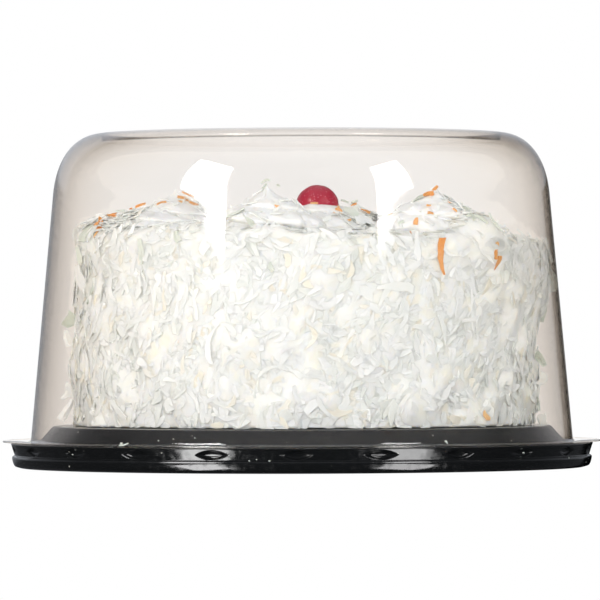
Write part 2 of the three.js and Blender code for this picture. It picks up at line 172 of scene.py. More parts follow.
# Grey flakes, given in the same way: their grey is painted shade, laid where the coat's edges and the
# rosettes' flanks fall into shadow
SHADE_GREY_FLAKES = (
    (89, 224, 86, 243, 4.0, 0.5), (76, 248, 85, 262, 3.6, 0.3), (87, 290, 94, 299, 4.4, 0.9),
    (64, 326, 72, 312, 4.6, 0.8), (115, 208, 125, 209.5, 1.8, 0.2), (175, 228, 181, 241, 2.6, 0.2),
    (137, 262, 145, 240, 3.0, 0.1), (226, 218, 245, 210, 2.2, 0.3), (247, 214, 250, 226, 3.0, 0.4),
    (271, 262, 273, 272, 2.4, 0.3), (545, 300, 541, 322, 3.6, 0.7), (536, 352, 545, 366, 3.8, 0.8),
    (540, 392, 534, 410, 3.4, 0.6), (470, 212, 486, 226, 1.8, 0.4), (496, 213, 495, 231, 1.2, 0.3),
    (262.5, 181.6, 270, 183.6, 1.1, 0.6), (266.5, 184, 264, 190, 1.7, 0.9),
    (276.5, 185, 280, 186.5, 1.0, 0.5), (342, 202.5, 347, 200.4, 1.6, 0.7),
    (352, 204.5, 358, 201.5, 1.8, 0.6), (414, 203, 424, 194.5, 3.4, 0.8),
    (461, 208.5, 469, 206, 1.6, 0.9), (468, 207, 470.5, 221, 1.6, 0.8), (343, 209, 358, 222, 4.0, 0.3),
    (404, 221, 399, 224, 2.0, 0.6),
)
# Pale flakes that hang out past the coat, given in the same way
HANGING = (
    (84, 266, 80, 290, 6.0, 0.0), (71, 384, 61.5, 399, 4.0, 0.2), (73, 400, 60, 420, 3.6, 0.1),
    (70, 346, 66, 330, 3.0, 0.2), (72, 364, 69, 378, 3.4, 0.3), (545, 238, 552, 262, 4.0, 0.3),
    (88, 221, 97, 218, 3.0, 0.3), (96, 217, 108, 215, 3.0, 0.1), (106, 213, 118, 216, 3.0, 0.2),
    (548, 268, 552, 292, 3.6, 0.5), (543, 372, 537, 384, 3.6, 0.4), (541, 414, 544, 427, 4.0, 0.2),
)
# Crumbs on the lid's flange and the tray, given in the same way
CRUMBS = (
    (119, 445.2, 128.5, 444.6, 1.2, 0.4), (120.5, 442.8, 121.5, 445.6, 1.1, 0.5),
    (28.4, 441.2, 30.4, 442.4, 1.0, 0.4), (444.8, 441, 447.6, 443.5, 0.7, 0.6),
    (72.4, 454.5, 73.4, 454.7, 0.4, 0.1), (158.4, 440.7, 159.2, 440.9, 0.3, 0.9),
    (172.6, 438.7, 173.4, 438.9, 0.3, 0.6), (194.5, 437.9, 195.2, 438.1, 0.3, 0.6),
    (522.4, 453, 524, 453.2, 0.5, 0.5), (568.6, 457.6, 569.4, 457.9, 0.4, 0.8),
    (229.4, 458.6, 230.6, 459, 0.3, 0.9), (237.4, 460.5, 238.6, 460.8, 0.3, 0.9),
    (248.5, 461.4, 249.8, 461.2, 0.3, 0.9), (256.2, 459.3, 257, 459.7, 0.3, 0.9),
    (268.6, 461.1, 270.6, 461.5, 0.3, 0.9),
)

# Camera, in metres: lens for a 36 mm sensor, and the width of a photograph's pixel at the axis in mm
LENS = 372
SENSOR = 36
PHOTO_WIDTH = 600
CAMERA_PLACE = (-0.0007, -2.815, 0.0684)
CAMERA_AIM = (-0.0007, 0, 0.0757)
CAMERA_ROLL = math.radians(-0.15)
PIXEL = 0.454

# Light, in metres and watts. Fills light matt surfaces only: name, place, power, colour
FILLS = (
    ("fill_front", -0.2, -2.6, 0.45, 74, "#FAFDFF"),
    ("fill_left", -2.0, -0.4, 0.7, 21, "#FFFAF0"),
    ("fill_right", 2.0, 0.4, 0.9, 23, "#F6FDFB"),
    ("fill_back", 0.0, 2.4, 0.9, 52, "#FFFFFF"),
    ("fill_top", 0.0, -0.3, 2.4, 8, "#FFFCF5"),
)
FILL_SIZE = (2.4, 1.6)
# Softboxes show in gloss only: name, side, place on that side, width, height, and watts for 0.29 m2.
# Each has an image below the floor, as a glossy table would give
SOFTBOXES = (
    ("softbox_left", -1, 0.705, -0.775, 0.587, 0.5, 0.586, 11),
    ("floor_image_left", -1, 0.645, -0.826, -0.59, 0.5, 0.58, 11),
    ("softbox_right", 1, 0.705, -0.815, 0.5925, 0.42, 0.575, 8),
    ("floor_image_right", 1, 0.676, -0.8, -0.59, 0.5, 0.58, 8),
)
SOFTBOX_AREA = 0.29
# Brightness of the room that gloss shows
ROOM_DIM = 0.07
FAR_WALL = 0.32
PALE_SHEET = 0.65
BACKDROP_HALF_ANGLE = math.radians(4)


def linear(colour):
    """An sRGB hex colour as linear red, green, blue and alpha."""
    parts = [int(colour[i:i + 2], 16) / 255 for i in (1, 3, 5)]
    return [p / 12.92 if p <= 0.04045 else ((p + 0.055) / 1.055) ** 2.4 for p in parts] + [1.0]


def add(tree, kind, inputs=None, **settings):
    """Adds a node with its settings, each input set to a value or linked to an output. Gives its outputs."""
    made = tree.nodes.new(kind)
    for name, value in settings.items():
        setattr(made, name, value)
    for socket, value in (inputs or {}).items():
        if isinstance(value, bpy.types.NodeSocket):
            tree.links.new(value, made.inputs[socket])
        else:
            made.inputs[socket].default_value = value
    return made.outputs


def new_material(name):
    """A material and its empty node tree."""
    material = bpy.data.materials.new(name)
    material.use_nodes = True
    material.node_tree.nodes.clear()
    return material, material.node_tree


def per_mm(size):
    """Scale of a pattern on Object coordinates whose features are this many millimetres across."""
    return 1 / (size * MM)


# Camera


def make_camera():
    """A level camera 2.8 m in front, a little below the middle of the cake, as in the photograph."""
    lens = bpy.data.cameras.new("camera")
    lens.lens = LENS
    lens.sensor_width = SENSOR
    lens.clip_end = 20
    camera = bpy.data.objects.new("camera", lens)
    camera.location = CAMERA_PLACE
    aim = Vector(CAMERA_AIM) - camera.location
    camera.rotation_euler = aim.to_track_quat("-Z", "Y").to_euler()
    camera.rotation_euler.rotate_axis("Z", CAMERA_ROLL)
    bpy.context.collection.objects.link(camera)
    bpy.context.scene.camera = camera
    bpy.context.scene.view_settings.view_transform = "Standard"
    bpy.context.view_layer.update()
    return camera


CAMERA = make_camera()


def sight(x, y):
    """Direction from the camera through a pixel of the photograph."""
    reach = SENSOR / PHOTO_WIDTH
    way = Vector(((x - PHOTO_WIDTH / 2) * reach, (PHOTO_WIDTH / 2 - y) * reach, -LENS))
    return (CAMERA.matrix_world.to_3x3() @ way).normalized()


# Materials


def clear_pet():
    """Thermoformed clear PET: see-through and faintly warm, with mirror gloss that grows at its edges."""
    material, tree = new_material("clear thermoformed PET")
    place = add(tree, "ShaderNodeTexCoord")["Object"]
    facing = add(tree, "ShaderNodeLayerWeight", {"Blend": 0.5})["Facing"]
    steep = add(tree, "ShaderNodeMath", {0: facing, 1: 5.0}, operation="POWER")[0]
    gloss_share = add(tree, "ShaderNodeMath", {0: steep, 1: 0.96, 2: 0.04},
                      operation="MULTIPLY_ADD")[0]
    slant = add(tree, "ShaderNodeMath", {0: facing, 1: 2.0}, operation="POWER")[0]
    tint = add(tree, "ShaderNodeMix", {"Factor": slant, 6: linear("#FEFDFC"), 7: linear("#FBF5EE")},
               data_type="RGBA")[2]
    see_through = add(tree, "ShaderNodeBsdfTransparent", {"Color": tint})[0]
    haze = add(tree, "ShaderNodeTexNoise", {
        "Vector": place, "Scale": per_mm(30), "Detail": 2.0})["Fac"]
    swell = add(tree, "ShaderNodeBump", {"Strength": 0.12, "Distance": 0.0012, "Height": haze})[0]
    gloss = add(tree, "ShaderNodeBsdfGlossy", {
        "Color": linear("#FFFFFF"), "Roughness": 0.055, "Normal": swell})
    mixed = add(tree, "ShaderNodeMixShader", {0: gloss_share, 1: see_through, 2: gloss[0]})
    add(tree, "ShaderNodeOutputMaterial", {"Surface": mixed[0]})
    return material


def black_ps():
    """Thermoformed black polystyrene: deep gloss, the slight swell of a stretched sheet, specks of dust."""
    material, tree = new_material("black thermoformed polystyrene")
    place = add(tree, "ShaderNodeTexCoord")["Object"]
    swell = add(tree, "ShaderNodeTexNoise", {
        "Vector": place, "Scale": per_mm(18), "Detail": 2.0})["Fac"]
    bump = add(tree, "ShaderNodeBump", {"Strength": 0.25, "Distance": 0.0006, "Height": swell})[0]
    film = add(tree, "ShaderNodeTexNoise", {
        "Vector": place, "Scale": per_mm(3), "Detail": 6.0})["Fac"]
    worn = add(tree, "ShaderNodeMapRange", {
        "Value": film, "From Min": 0.45, "From Max": 0.8, "To Min": 0.09, "To Max": 0.3})[0]
    grains = add(tree, "ShaderNodeTexVoronoi", {"Vector": place, "Scale": per_mm(DUST_SPACING)})
    draw = add(tree, "ShaderNodeSeparateColor", {0: grains["Color"]})[0]
    small = add(tree, "ShaderNodeMath", {0: grains["Distance"], 1: SPECK_REACH},
                operation="LESS_THAN")[0]
    few = add(tree, "ShaderNodeMath", {0: draw, 1: 1 - SPECK_SHARE}, operation="GREATER_THAN")[0]
    speck = add(tree, "ShaderNodeMath", {0: small, 1: few}, operation="MULTIPLY")[0]
    colour = add(tree, "ShaderNodeMix", {"Factor": speck, 6: linear("#111213"), 7: linear("#B9B7AE")},
                 data_type="RGBA")[2]
    skin = add(tree, "ShaderNodeBsdfPrincipled", {
        "Base Color": colour, "Roughness": worn, "IOR": 1.55, "Normal": bump})
    add(tree, "ShaderNodeOutputMaterial", {"Surface": skin[0]})
    return material


def coconut(name, pale, deep, blotch):
    """Grated coconut flesh: waxy and soft-edged, each shred its own tone between pale and deep."""
    material, tree = new_material(name)
    place = add(tree, "ShaderNodeTexCoord")["Object"]
    tone = add(tree, "ShaderNodeAttribute", attribute_name="tone")["Fac"]
    patch = add(tree, "ShaderNodeTexNoise", {
        "Vector": place, "Scale": per_mm(blotch), "Detail": 3.0})["Fac"]
    share = add(tree, "ShaderNodeMath", {0: patch, 1: 0.5, 2: tone}, operation="MULTIPLY_ADD")[0]
    depth = add(tree, "ShaderNodeMapRange", {"Value": share, "From Min": 0.2, "From Max": 1.1})[0]
    colour = add(tree, "ShaderNodeMix", {"Factor": depth, 6: linear(pale), 7: linear(deep)},
                 data_type="RGBA")[2]
    fibre = add(tree, "ShaderNodeTexNoise", {
        "Vector": place, "Scale": per_mm(1.2), "Detail": 3.0})["Fac"]
    bump = add(tree, "ShaderNodeBump", {"Strength": 0.15, "Distance": 0.0002, "Height": fibre})[0]
    flesh = add(tree, "ShaderNodeBsdfPrincipled", {
        "Base Color": colour, "Roughness": 0.45, "IOR": 1.4, "Normal": bump,
        "Subsurface Weight": 0.45, "Subsurface Radius": (0.0009, 0.0008, 0.0007), "Subsurface Scale": 1.0})
    add(tree, "ShaderNodeOutputMaterial", {"Surface": flesh[0]})
    return material


def whipped_icing():
    """Whipped vegetable-fat icing: matt white and soft, creamier where coconut is pressed into it."""
    material, tree = new_material("whipped icing")
    place = add(tree, "ShaderNodeTexCoord")["Object"]
    cloud = add(tree, "ShaderNodeTexNoise", {
        "Vector": place, "Scale": per_mm(22), "Detail": 3.0})["Fac"]
    plain = add(tree, "ShaderNodeMix", {"Factor": cloud, 6: linear("#FCFCFB"), 7: linear("#F6F7F4")},
                data_type="RGBA")[2]
    zone = add(tree, "ShaderNodeTexNoise", {
        "Vector": place, "Scale": per_mm(40), "Detail": 1.0})["Fac"]
    mellow = add(tree, "ShaderNodeMapRange", {
        "Value": zone, "From Min": 0.35, "From Max": 0.65, "To Min": 0.1, "To Max": 0.8})[0]
    own_tone = add(tree, "ShaderNodeAttribute", attribute_name="tone")["Fac"]
    tone = add(tree, "ShaderNodeMath", {0: own_tone, 1: mellow}, operation="MULTIPLY")[0]
    flesh = add(tree, "ShaderNodeMix", {"Factor": tone, 6: linear("#F7F8F5"), 7: linear("#FAF4E4")},
                data_type="RGBA")[2]
    share = add(tree, "ShaderNodeAttribute", attribute_name="coconut")["Fac"]
    colour = add(tree, "ShaderNodeMix", {"Factor": share, 6: plain, 7: flesh}, data_type="RGBA")[2]
    drag = add(tree, "ShaderNodeTexNoise", {
        "Vector": place, "Scale": per_mm(2.4), "Detail": 4.0, "Distortion": 0.6})["Fac"]
    bump = add(tree, "ShaderNodeBump", {"Strength": 0.2, "Distance": 0.0004, "Height": drag})[0]
    cream = add(tree, "ShaderNodeBsdfPrincipled", {
        "Base Color": colour, "Roughness": 0.42, "IOR": 1.42, "Normal": bump,
        "Subsurface Weight": 0.7, "Subsurface Radius": (0.0024, 0.0022, 0.0019), "Subsurface Scale": 1.0})
    add(tree, "ShaderNodeOutputMaterial", {"Surface": cream[0]})
    return material


def glace_cherry():
    """Glace cherry: translucent crimson under syrup that has dried to a sugary, dotted bloom."""
    material, tree = new_material("sugared glace cherry")
    place = add(tree, "ShaderNodeTexCoord")["Object"]
    cells = add(tree, "ShaderNodeTexVoronoi", {"Vector": place, "Scale": per_mm(1.2)})["Distance"]
    dots = add(tree, "ShaderNodeMapRange", {
        "Value": cells, "From Min": 0.08, "From Max": 0.3, "To Min": 1.0, "To Max": 0.0})[0]
    cloud = add(tree, "ShaderNodeTexNoise", {
        "Vector": place, "Scale": per_mm(5), "Detail": 2.0})["Fac"]
    patchy = add(tree, "ShaderNodeMapRange", {
        "Value": cloud, "From Min": 0.35, "From Max": 0.65, "To Min": 0.25, "To Max": 1.0})[0]
    bloom = add(tree, "ShaderNodeMath", {0: dots, 1: patchy}, operation="MULTIPLY")[0]
    colour = add(tree, "ShaderNodeMix", {"Factor": bloom, 6: linear("#AD1F3A"), 7: linear("#E295A2")},
                 data_type="RGBA")[2]
    bump = add(tree, "ShaderNodeBump", {"Strength": 0.4, "Distance": 0.0003, "Height": dots})[0]
    flesh = add(tree, "ShaderNodeBsdfPrincipled", {
        "Base Color": colour, "Roughness": 0.38, "IOR": 1.46, "Normal": bump,
        "Subsurface Weight": 0.25, "Subsurface Radius": (0.004, 0.001, 0.001), "Subsurface Scale": 1.0,
        "Coat Weight": 0.3, "Coat Roughness": 0.2})
    add(tree, "ShaderNodeOutputMaterial", {"Surface": flesh[0]})
    return material


CLEAR_SHEET = clear_pet()
TRAY_BLACK = black_ps()
COCONUT_WHITE = coconut("white grated coconut", "#FDFDFC", "#EEF0EA", 14)
COCONUT_CREAM = coconut("cream grated coconut", "#FBF8EF", "#F9F1DE", 9)
# Grey coconut: painted shade on the flakes at the coat's shaded edges and rosette flanks, and the grey of
# the crumbs
COCONUT_GREY_AND_SHADE = coconut("grey grated coconut with painted shade", "#E4E8E0", "#C9CFC4", 6)
COCONUT_TOASTED = coconut("toasted grated coconut", "#F4C692", "#E39C58", 4)
ICING = whipped_icing()
CHERRY_RED = glace_cherry()


# Making pieces


def piece(name, source, material, slot, *nodes, smooth=True):
    """A piece from a bmesh or a mesh in millimetres, riding on the body and standing for its CAD nodes."""
    if isinstance(source, bmesh.types.BMesh):
        mesh = bpy.data.meshes.new(name)
        source.to_mesh(mesh)
        source.free()
    else:
        mesh = source
        mesh.name = name
    mesh.transform(Matrix.Scale(MM, 4))
    mesh.polygons.foreach_set("use_smooth", [smooth] * len(mesh.polygons))
    mesh.materials.append(material)
    made = bpy.data.objects.new(name, mesh)
    bpy.context.collection.objects.link(made)
    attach(made, "root")
    if nodes:
        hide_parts(*nodes)
    return made


def filleted(corners, radii, steps=5):
    """An open line of (radius, height) corners with each inner corner rounded off by its radius."""
    line = [Vector(corners[0])]
    for before, corner, after, radius in zip(corners, corners[1:], corners[2:], radii):
        before, corner, after = Vector(before), Vector(corner), Vector(after)
        into, out = corner - before, after - corner
        cut = radius * math.tan(into.angle(out) / 2)
        cut = min(cut, 0.48 * into.length, 0.48 * out.length)
        start, end = corner - into.normalized() * cut, corner + out.normalized() * cut
        for step in range(steps + 1):
            t = step / steps
            line.append((1 - t) ** 2 * start + 2 * t * (1 - t) * corner + t * t * end)
    line.append(Vector(corners[-1]))
    return line


def turned(line, columns):
    """A bmesh shell: the line of (radius, height) points spun round the axis, facing outwards or up."""
    shell = bmesh.new()
    corners = [shell.verts.new((point[0], 0, point[1])) for point in line]
    edges = [shell.edges.new(pair) for pair in zip(corners, corners[1:])]
    bmesh.ops.spin(shell, geom=corners + edges, cent=(0, 0, 0), axis=(0, 0, 1), angle=2 * math.pi,
                   steps=columns, use_merge=True)
    bmesh.ops.remove_doubles(shell, verts=shell.verts, dist=1e-4)
    bmesh.ops.recalc_face_normals(shell, faces=shell.faces)
    return shell


def spaced(start, end, count):
    """Points from start up to and with end, evenly spaced."""
    return [Vector(start).lerp(Vector(end), (i + 1) / count) for i in range(count)]


# Lid


def make_lid():
    """The dome: a flat flange, a tapering wall, a rounded crown and a sunken panel, in one thin sheet."""
    foot, top, crown = Vector(WALL_FOOT), Vector(WALL_TOP), Vector(CROWN)
    outline = filleted([FLANGE_TIP, FLANGE_ROOT, WALL_FOOT], (1.3,))
    outline += spaced(foot, top, 14)
    rise = top + SHOULDER_RISE * (top - foot).normalized()
    lean_in = crown + Vector(SHOULDER_RUN)
    for step in range(1, 21):
        t = step / 20
        outline.append((1 - t) ** 3 * top + 3 * t * (1 - t) ** 2 * rise + 3 * t * t * (1 - t) * lean_in
                       + t ** 3 * crown)
    step_down = [CROWN, (PANEL_R, crown.y - 0.3), (PANEL_R - 0.2, PANEL_Z), (80, PANEL_Z)]
    outline += filleted(step_down, (0.5, 0.8), 3)[1:]
    outline += spaced((80, PANEL_Z), (0, PANEL_Z), 6)
    shell = turned(outline, LID_COLUMNS)
    if sum(face.normal.z for face in shell.faces) < 0:
        bmesh.ops.reverse_faces(shell, faces=shell.faces)
    bmesh.ops.solidify(shell, geom=shell.faces[:], thickness=LID_SHEET)
    return piece("lid_sheet", shell, CLEAR_SHEET, "clear_sheet", "lid")


# Tray


def dimple_depth(angle, height):
    """How far the upper band is pressed in at an angle and height: lens-shaped, with a thin raised lip."""
    step = 2 * math.pi / DIMPLES
    off = (angle - DIMPLE_START + step / 2) % step - step / 2
    along = off * UPPER_BAND_R / (DIMPLE_WIDTH / 2)
    up = (height - DIMPLE_Z) / (DIMPLE_HEIGHT / 2)
    inside = 1 - along * along - abs(up)
    if inside <= -0.3 or abs(along) > 1.15:
        return 0
    press = 1 - (1 - min(max(inside, 0), 1)) ** 2.6
    lip = max(0, 1 - abs(inside + 0.05) / 0.1)
    return DIMPLE_DEPTH * press - DIMPLE_LIP * lip


def make_tray():
    """The tray: platform, shoulder, channel, foot ring, lower band, ledge and dimpled upper band."""
    outline = [Vector((0, UNDER_PLATFORM)), Vector((60, UNDER_PLATFORM))]
    outline += filleted(TRAY_CORNERS, TRAY_RADII, 3)
    outline += spaced(TRAY_CORNERS[-1], UPPER_BAND_TOP, 18)
    outline += [Vector(RIM)]
    shell = turned(outline, TRAY_COLUMNS)
    platform = [face for face in shell.faces if face.calc_center_median().z > UNDER_PLATFORM - 1]
    if sum(face.normal.z for face in platform) < 0:
        bmesh.ops.reverse_faces(shell, faces=shell.faces)
    for vert in shell.verts:
        radius = math.hypot(vert.co.x, vert.co.y)
        if radius > LEDGE[0] and vert.co.z > LEDGE[1]:
            kept = (radius - dimple_depth(math.atan2(vert.co.x, -vert.co.y), vert.co.z)) / radius
            vert.co.x *= kept
            vert.co.y *= kept
    bmesh.ops.solidify(shell, geom=shell.faces[:], thickness=-TRAY_SHEET)
    return piece("tray_sheet", shell, TRAY_BLACK, "tray_sheet", "tray")


# The cake's form, as in the part's source


def smoothstep(value, start, end):
    """The value's way from start to end as 0 to 1, slow at both ends."""
    share = np.clip((value - start) / (end - start), 0, 1)
    return share * share * (3 - 2 * share)


def soft_limit(value, limit, room):
    """The value, slowed down over the room so that it never passes its limit."""
    over = np.maximum(value - (limit - room), 0)
    return np.where(value > limit - room, limit - room * np.exp(-over / room), value)


def coat_radius(angle, height):
    """Radius of the coat on an upright cake."""
    radius = np.full(np.shape(angle), float(CAKE_R))
    for depth, waves, wave_height, phase in COAT_WAVES:
        radius += depth * np.sin(waves * angle + 2 * math.pi * height / wave_height + phase)
    return radius


def settle(points):
    """Moves points of the upright cake to where the leaning, sloping one has them, clear of lid and tray."""
    x, y, z = np.array(points, dtype=float).T
    rise = (z - CAKE_BASE) / (CAKE_TOP - CAKE_BASE)
    side = LEAN_FAR_SIDE + (1 - LEAN_FAR_SIDE) * (x + CAKE_R) / (2 * CAKE_R)
    x += BASE_SHIFT + LEAN * side * smoothstep(z, LEAN_FROM, LEAN_TO)
    z -= TOP_FALL * x * rise
    radius = np.maximum(np.hypot(x, y), 1)
    share = (z - WALL_FOOT[1]) / (WALL_TOP[1] - WALL_FOOT[1])
    limit = WALL_FOOT[0] + (WALL_TOP[0] - WALL_FOOT[0]) * share - LID_SHEET - LID_CLEARANCE
    kept = soft_limit(radius, limit, SQUASH_ROOM) / radius
    z = -soft_limit(-z, -CAKE_BASE, BASE_ROOM)
    return np.column_stack((x * kept, y * kept, z))


def lumps(points, seed, sizes, depth):
    """Smooth random relief: waves of the given sizes in random directions, about +-depth."""
    draw = np.random.default_rng(seed)
    relief = np.zeros(len(points))
    for size in sizes:
        way = draw.normal(size=3)
        way *= 2 * math.pi / size / np.linalg.norm(way)
        relief += np.sin(points @ way + draw.uniform(0, 2 * math.pi))
    return depth * relief / math.sqrt(len(sizes) / 2)


LUMP_SIZES = tuple(np.linspace(13, 34, 16))
# The way up the wall, round the edge and in over the top, and how high the middle waits meanwhile
WALL_RUN = CAKE_TOP - CAKE_EDGE - CAKE_BASE
EDGE_RUN = CAKE_EDGE * math.pi / 2
TOP_RUN = CAKE_R - CAKE_EDGE
TIP_PARKED = 200


def coat_spot(angle, run):
    """Place and outward normal on the upright cake, run millimetres up the side, over the edge and in."""
    turn = np.clip((run - WALL_RUN) / CAKE_EDGE, 0, math.pi / 2)
    inward = np.maximum(run - WALL_RUN - EDGE_RUN, 0)
    radius = CAKE_R - CAKE_EDGE * (1 - np.cos(turn)) - inward
    height = CAKE_BASE + np.minimum(run, WALL_RUN) + CAKE_EDGE * np.sin(turn)
    radius = radius * coat_radius(angle, height) / CAKE_R
    normal = np.column_stack((np.cos(turn) * np.sin(angle), -np.cos(turn) * np.cos(angle), np.sin(turn)))
    place = np.column_stack((radius * np.sin(angle), -radius * np.cos(angle), height))
    relief = lumps(place, 5, LUMP_SIZES, LUMP_DEPTH)
    for middle, height, radius in CLUMPS:
        relief += height * np.exp(-np.sum((place - middle) ** 2, axis=1) / radius ** 2)
    return place + normal * relief[:, None], normal


def pressed_flakes(runs, columns, count, seed, length, width, rise, tones):
    """Relief, coconut share and tone of flakes pressed into the icing, on a grid of runs and columns."""
    draw = np.random.default_rng(seed)
    relief, share, tone = (np.zeros((len(runs), columns)) for _ in range(3))
    runs = np.array(runs)
    radius = np.maximum(CAKE_R - np.maximum(runs - WALL_RUN - EDGE_RUN / 2, 0), 20)
    step = 2 * math.pi / columns
    reach = length[1] / 2 + 1
    for _ in range(count):
        centre, run = draw.uniform(0, columns), draw.uniform(0, runs[-1])
        long, wide = draw.uniform(*length) / 2, draw.uniform(*width) / 2
        turn, bend = draw.normal(math.pi / 2, 0.75), draw.normal(0, 0.16)
        high, slope, sink = draw.uniform(*rise), draw.normal(0, 0.35), draw.uniform(0.1, 0.6)
        low, top = np.searchsorted(runs, (run - reach, run + reach))
        span = int(reach / (step * radius[low:top].min())) + 1
        near = np.arange(int(centre) - span, int(centre) + span + 1)
        u, v = (near - centre) * step * radius[low:top, None], (runs[low:top] - run)[:, None]
        along = (u * math.cos(turn) + v * math.sin(turn)) / long
        across = (v * math.cos(turn) - u * math.sin(turn)) / wide + bend * long * (along ** 2 - 0.3)
        body = 1 - np.abs(along) ** 4 - np.abs(across) ** 2.5
        inside = body > 0
        form = high * np.sqrt(np.maximum(body, 0)) * (1 + slope * along) - sink * high
        cells = np.ix_(np.arange(low, top), near % columns)
        over = inside & (form > relief[cells] - 0.05)
        relief[cells] = np.where(over, np.maximum(form, relief[cells]), relief[cells])
        share[cells] = np.where(over, np.minimum(1, 2.5 * body), share[cells])
        tone[cells] = np.where(over, draw.uniform(*tones) ** 2, tone[cells])
    return relief, share, tone


def make_core():
    """The icing with the coconut that is pressed into it.

    A plain form is spun first, with each ring a millimetre over the last, and then moved to its place.
    """
    runs = list(np.linspace(0, WALL_RUN, 100)) + list(np.linspace(WALL_RUN, WALL_RUN + EDGE_RUN, 14)[1:])
    runs += list(np.linspace(WALL_RUN + EDGE_RUN, WALL_RUN + EDGE_RUN + 20, 20)[1:])
    coated = len(runs)
    runs += list(np.linspace(WALL_RUN + EDGE_RUN + 20, WALL_RUN + EDGE_RUN + TOP_RUN - 1, 14)[1:])
    outline = [Vector((0, CAKE_BASE)), Vector((CAKE_R - 12, CAKE_BASE))]
    outline += [Vector((CAKE_R - 0.2 * i, CAKE_BASE + i)) for i in range(len(runs))]
    outline += [Vector((0, CAKE_TOP + TIP_PARKED))]
    columns = 640
    core = turned(outline, columns)
    relief, share, tone = pressed_flakes(runs[:coated], columns, 7000, 31, length=(6, 18), width=(2.6, 7),
                                         rise=(0.3, 0.95), tones=(0, 1))
    share_layer = core.verts.layers.float.new("coconut")
    tone_layer = core.verts.layers.float.new("tone")
    rows = {}
    for vert in core.verts:
        rows.setdefault(round(vert.co.z, 3), []).append(vert)
    for i, run in enumerate(runs):
        ring = [v for v in rows[round(CAKE_BASE + i, 3)] if i or math.hypot(v.co.x, v.co.y) > CAKE_R - 1]
        angles = np.array([math.atan2(v.co.x, -v.co.y) for v in ring])
        places, normals = coat_spot(angles, np.full(len(ring), float(run)))
        if i < coated:
            slot = np.rint(angles / (2 * math.pi) * columns).astype(int) % columns
            places += normals * (relief[i, slot] - 0.3)[:, None]
            for vert, cell in zip(ring, slot):
                vert[share_layer] = share[i, cell]
                vert[tone_layer] = tone[i, cell]
        for vert, place in zip(ring, settle(places)):
            vert.co = place
    for vert in rows[round(CAKE_TOP + TIP_PARKED, 3)]:
        vert.co.z = CAKE_TOP
    bmesh.ops.smooth_vert(core, verts=core.verts, factor=0.25, use_axis_x=True, use_axis_y=True,
                          use_axis_z=True)
    return piece("cake_icing", core, ICING, "icing", "cake")


# Coconut, laid strip by strip


def strip_template(cuts, split):
    """A unit bar cut across into bends, and along its middle if it is to be cupped."""
    bar = bmesh.new()
    bmesh.ops.create_cube(bar, size=1)
    planes = [((i / (cuts + 1) - 0.5, 0, 0), (1, 0, 0)) for i in range(1, cuts + 1)]
    if split:
        planes.append(((0, 0, 0), (0, 1, 0)))
    for spot, way in planes:
        everything = bar.verts[:] + bar.edges[:] + bar.faces[:]
        bmesh.ops.bisect_plane(bar, geom=everything, plane_co=spot, plane_no=way)
    bar.verts.ensure_lookup_table()
    points = np.array([v.co[:] for v in bar.verts])
    faces = np.array([[v.index for v in face.verts] for face in bar.faces])
    bar.free()
    return points, faces


SHRED = strip_template(5, False)
FLAKE = strip_template(3, True)


def lay_strips(template, spots, normals, draw, length, width, thick, turn, tip, lift, curl=0.2,
               taper=(0.25, 0.9)):
    """Bent strips lying on a surface: each is turned in it and tipped so that one end stands out."""
    unit, faces = template
    count = len(spots)

    def column(values):
        return np.asarray(values, dtype=float).reshape(-1, 1)

    length, width, thick = column(length), column(width), column(thick)
    along = 2 * unit[None, :, 0].repeat(count, 0)
    across, through = unit[None, :, 1], unit[None, :, 2]
    taper = column(draw.uniform(*taper, count))
    skew = column(draw.uniform(-0.5, 0.5, count))
    twist = column(draw.normal(0, 0.3, count))
    arch = column(draw.normal(0.5, 1.0, count)) * curl
    sway = column(draw.normal(0, 0.13, count)) * length
    cup = column(draw.normal(0, 0.35, count))
    ragged = draw.uniform(0.65, 1.3, (count, len(unit)))
    half = width * (1 - taper * along ** 2) * (1 + skew * along) * across * ragged
    x = 0.5 * length * along
    y = half * np.cos(twist * along) + sway * (1 - along ** 2)
    z = half * np.sin(twist * along) + thick * through + arch * (1 - along ** 2) + cup * 4 * across ** 2
    z = z + column(np.broadcast_to(lift, count))
    tip = column(tip)
    x, z = x * np.cos(tip) - z * np.sin(tip), x * np.sin(tip) + z * np.cos(tip)
    turn = column(turn)
    x, y = x * np.cos(turn) - y * np.sin(turn), x * np.sin(turn) + y * np.cos(turn)
    guide = np.where(np.abs(normals[:, 2:]) > 0.9, [[0.0, 1.0, 0.0]], [[0.0, 0.0, 1.0]])
    side = np.cross(guide, normals)
    side /= np.linalg.norm(side, axis=1)[:, None]
    up = np.cross(normals, side)
    points = (spots[:, None, :] + x[..., None] * side[:, None, :] + y[..., None] * up[:, None, :]
              + z[..., None] * normals[:, None, :])
    joined = (faces[None] + len(unit) * np.arange(count)[:, None, None]).reshape(-1, faces.shape[1])
    return points.reshape(-1, 3), joined


def strips_piece(name, material, points, faces, tones):
    """One piece of many strips, flat-faced as cut coconut is, with each strip's tone on its points."""
    mesh = bpy.data.meshes.new(name)
    mesh.from_pydata(points.tolist(), [], faces.tolist())
    tone = mesh.attributes.new("tone", "FLOAT", "POINT")
    tone.data.foreach_set("value", np.repeat(tones, len(points) // len(tones)).astype(np.float32))
    return piece(name, mesh, material, "coconut", smooth=False)


def trees_of(pieces):
    """Ray-cast trees of pieces that lie at the origin."""
    bpy.context.view_layer.update()
    graph = bpy.context.evaluated_depsgraph_get()
    return [BVHTree.FromObject(made, graph) for made in pieces]


def nearest(trees, start, way):
    """The first hit of a ray on any of the trees, or None."""
    hits = [tree.ray_cast(start, way) for tree in trees]
    hits = [hit for hit in hits if hit[0] is not None]
    return min(hits, key=lambda hit: hit[3]) if hits else None


